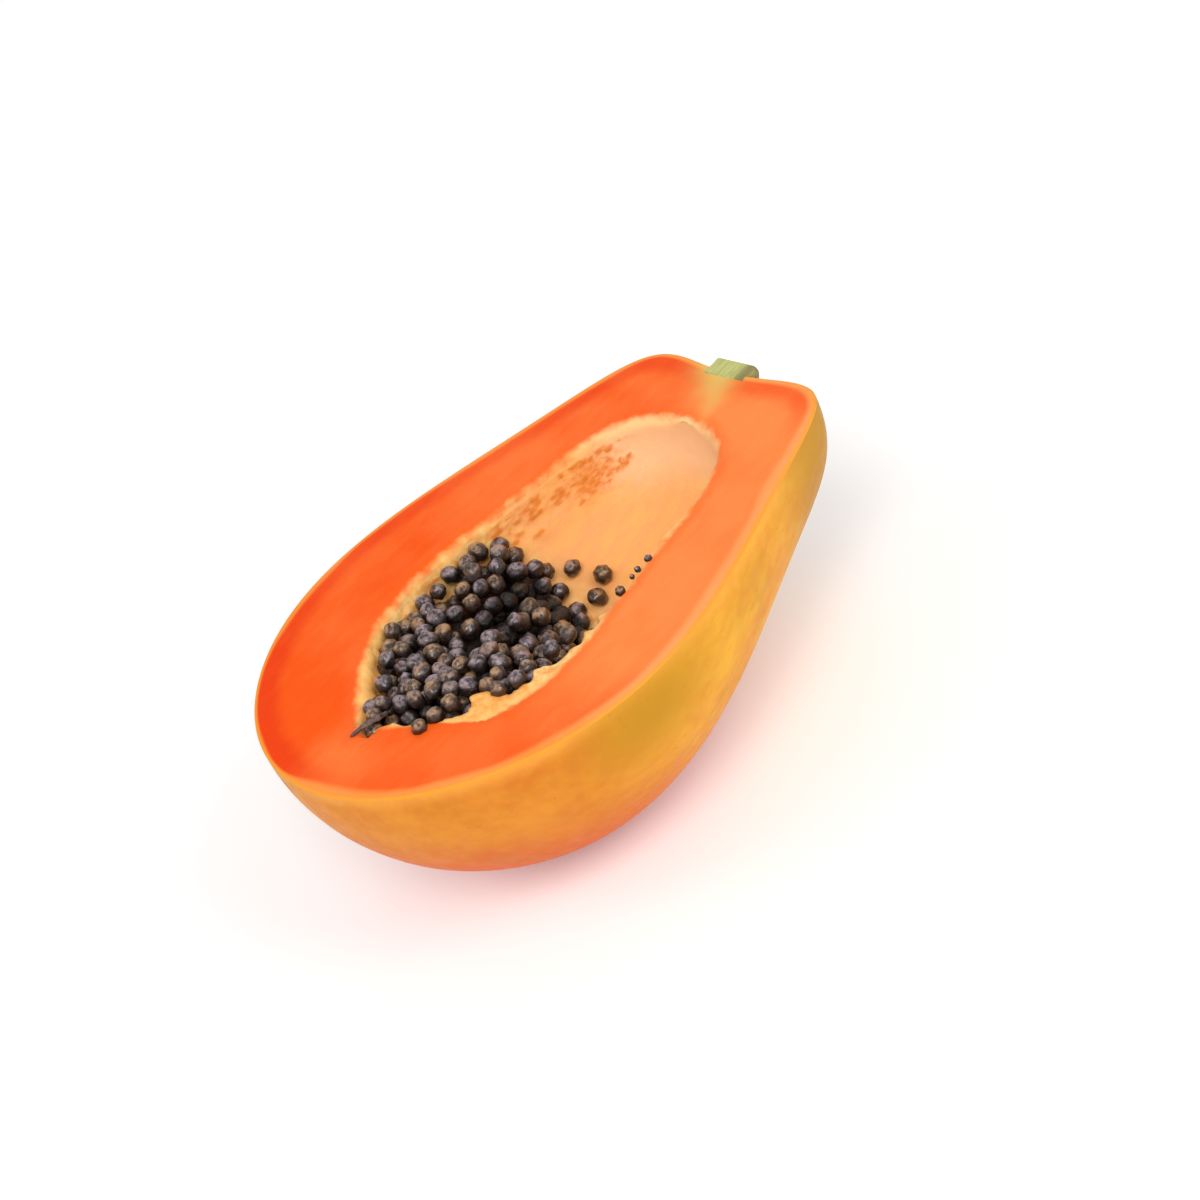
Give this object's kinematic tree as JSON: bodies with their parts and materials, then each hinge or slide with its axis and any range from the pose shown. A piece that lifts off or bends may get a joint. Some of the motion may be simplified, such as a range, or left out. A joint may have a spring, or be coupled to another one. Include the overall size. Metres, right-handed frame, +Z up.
{
  "type": "papaya half",
  "caption": "Pear-shaped papaya cut in half lengthwise, lying on its back with the cut face up, its seed cavity partly filled with dark seeds and a short stem stub at one end.",
  "frame": {"origin": "on the resting surface, under the middle of the whole piece", "axes": "+X from the blossom end to the stem end, +Y across the half, +Z up out of the cut face"},
  "size_m": [0.1804, 0.1338, 0.0674],
  "materials": {
    "flesh": "moist orange flesh under a thin smooth yellow-orange rind",
    "stem": "dry, pale green inside and grey-brown at the end",
    "seeds": "moist, wrinkled and nearly black"
  },
  "bodies": {
    "root": {"fruit_half": "flesh", "stem_stub": "stem", "seed_heap": "seeds"}
  },
  "joints": []
}
